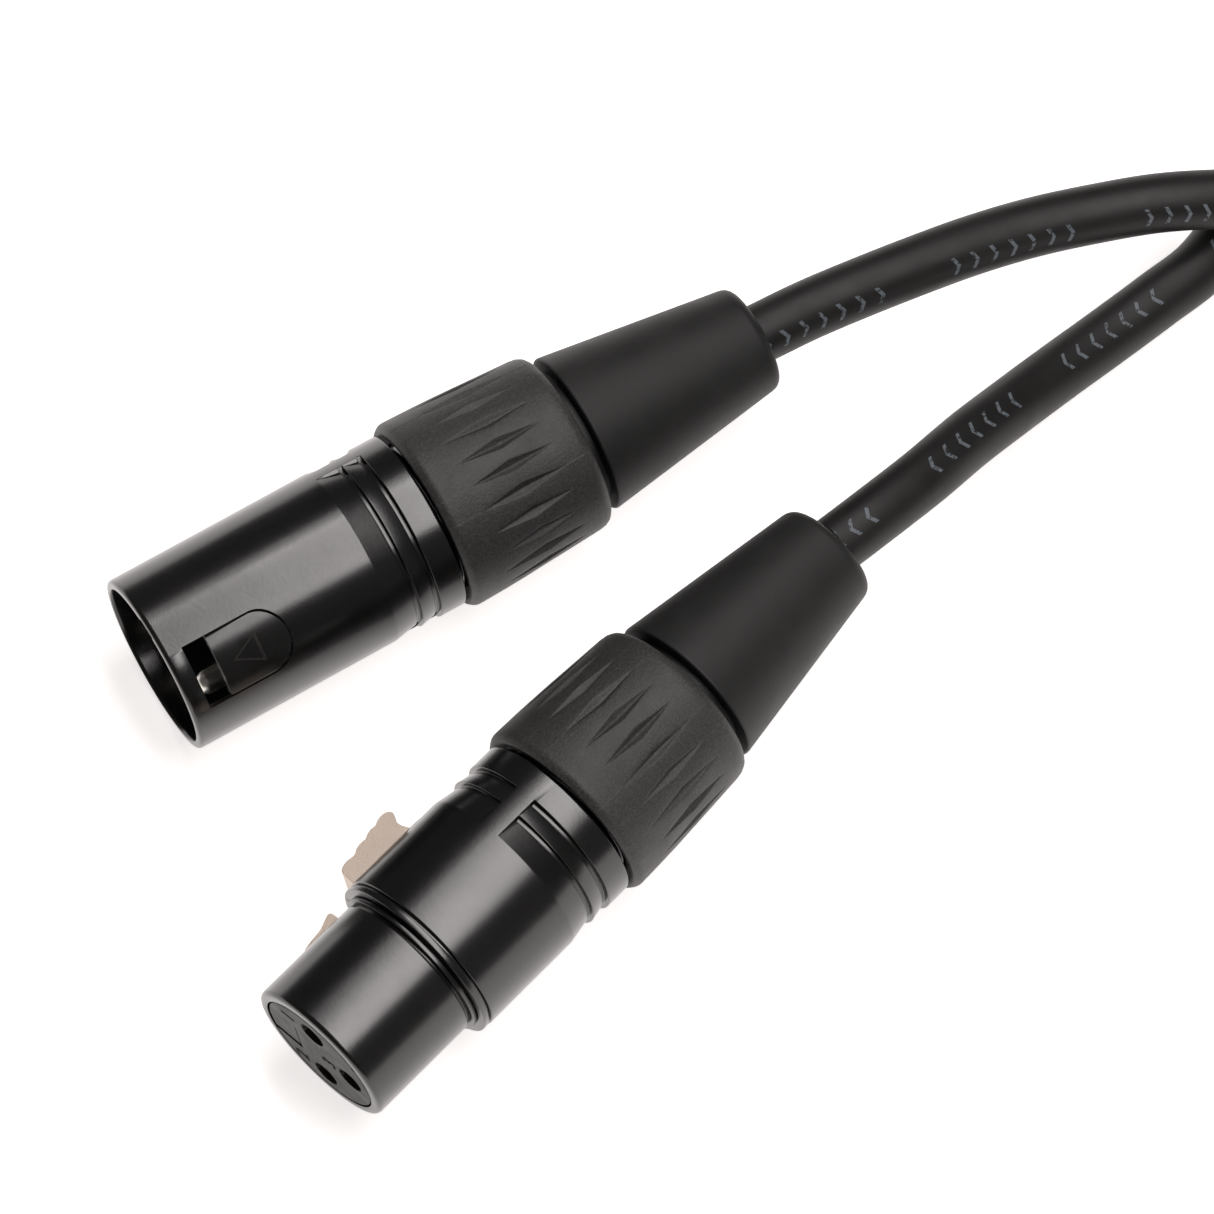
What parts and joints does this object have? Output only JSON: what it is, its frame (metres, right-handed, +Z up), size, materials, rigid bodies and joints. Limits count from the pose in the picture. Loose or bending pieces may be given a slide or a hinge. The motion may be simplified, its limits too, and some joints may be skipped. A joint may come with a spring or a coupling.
{
  "type": "xlr microphone cable",
  "caption": "Microphone cable with a male and a female three-contact XLR plug lying side by side, its middle wound in a tied coil",
  "frame": {"origin": "centre of the two plugs' footprint, on the surface that they lie on", "axes": "+Z up; +X along the male plug's axis, from its mouth towards the cable; +Y across, from the female plug to the male plug"},
  "size_m": [0.2254, 0.08, 0.0278],
  "materials": {
    "shell_black": "black chromed die-cast metal, glossy",
    "insert_black": "black moulded insulator",
    "grip_black": "fine-grained black plastic grip",
    "boot_rubber": "satin black elastomer",
    "cable_jacket": "satin black PVC jacket",
    "latch_nickel": "sand-blasted nickel",
    "contact_silver": "silver-plated contact",
    "spring_steel": "spring steel",
    "wire_bare": "tinned screen wire",
    "wire_red": "red insulated conductor",
    "wire_blue": "blue insulated conductor",
    "tie_fabric": "black hook-and-loop strap"
  },
  "bodies": {
    "plugs": {"cable_coil": "cable_jacket", "cable_to_female": "cable_jacket", "cable_to_male": "cable_jacket", "coil_tie": "tie_fabric", "female_cable_end": "cable_jacket", "female_chuck": "insert_black", "female_contact_1": "contact_silver", "female_contact_2": "contact_silver", "female_contact_3": "contact_silver", "female_insert": "insert_black", "female_key_block": "insert_black", "female_shell": "shell_black", "female_wire_1": "wire_bare", "female_wire_2": "wire_red", "female_wire_3": "wire_blue", "latch_spring": "spring_steel", "male_cable_end": "cable_jacket", "male_chuck": "insert_black", "male_insert": "insert_black", "male_lock_plate": "insert_black", "male_pin_1": "contact_silver", "male_pin_2": "contact_silver", "male_pin_3": "contact_silver", "male_shell": "shell_black", "male_wire_1": "wire_bare", "male_wire_2": "wire_red", "male_wire_3": "wire_blue"},
    "latch": {"latch_lever": "latch_nickel"},
    "male_sleeve": {"male_boot": "boot_rubber"},
    "male_nut": {"male_grip_nut": "grip_black"},
    "female_sleeve": {"female_boot": "boot_rubber"},
    "female_nut": {"female_grip_nut": "grip_black"}
  },
  "joints": [
    {"name": "latch_press", "type": "hinge", "parent": "plugs", "child": "latch", "pos_m": [-0.01726, -0.01008, 0.00869], "axis": [-0.0754, 0.1234, 0.9895], "range_deg": [0, 6.5], "stiffness_Nm_per_rad": 0.2, "springref_deg": -5.73, "deforming": ["latch_spring"]},
    {"name": "male_boot_slide", "type": "slide", "parent": "plugs", "child": "male_sleeve", "axis": [0.9996, 0, 0.0267], "range_m": [0, 0.005], "deforming": ["cable_to_male"]},
    {"name": "male_nut_turn", "type": "hinge", "parent": "male_sleeve", "child": "male_nut", "pos_m": [0.00796, 0.02042, 0.01036], "axis": [0.9996, 0, 0.0267], "range_deg": [0, 1801]},
    {"name": "female_boot_slide", "type": "slide", "parent": "plugs", "child": "female_sleeve", "axis": [0.9619, 0.2704, 0.0395], "range_m": [0, 0.005], "deforming": ["cable_to_female"]},
    {"name": "female_nut_turn", "type": "hinge", "parent": "female_sleeve", "child": "female_nut", "pos_m": [0.00303, -0.01188, 0.01046], "axis": [0.9619, 0.2704, 0.0395], "range_deg": [0, 1801]}
  ],
  "couplings": [
    {"joint": "male_nut_turn", "follows": "male_boot_slide", "rad_per_m": 6283.2},
    {"joint": "female_nut_turn", "follows": "female_boot_slide", "rad_per_m": 6283.2}
  ]
}
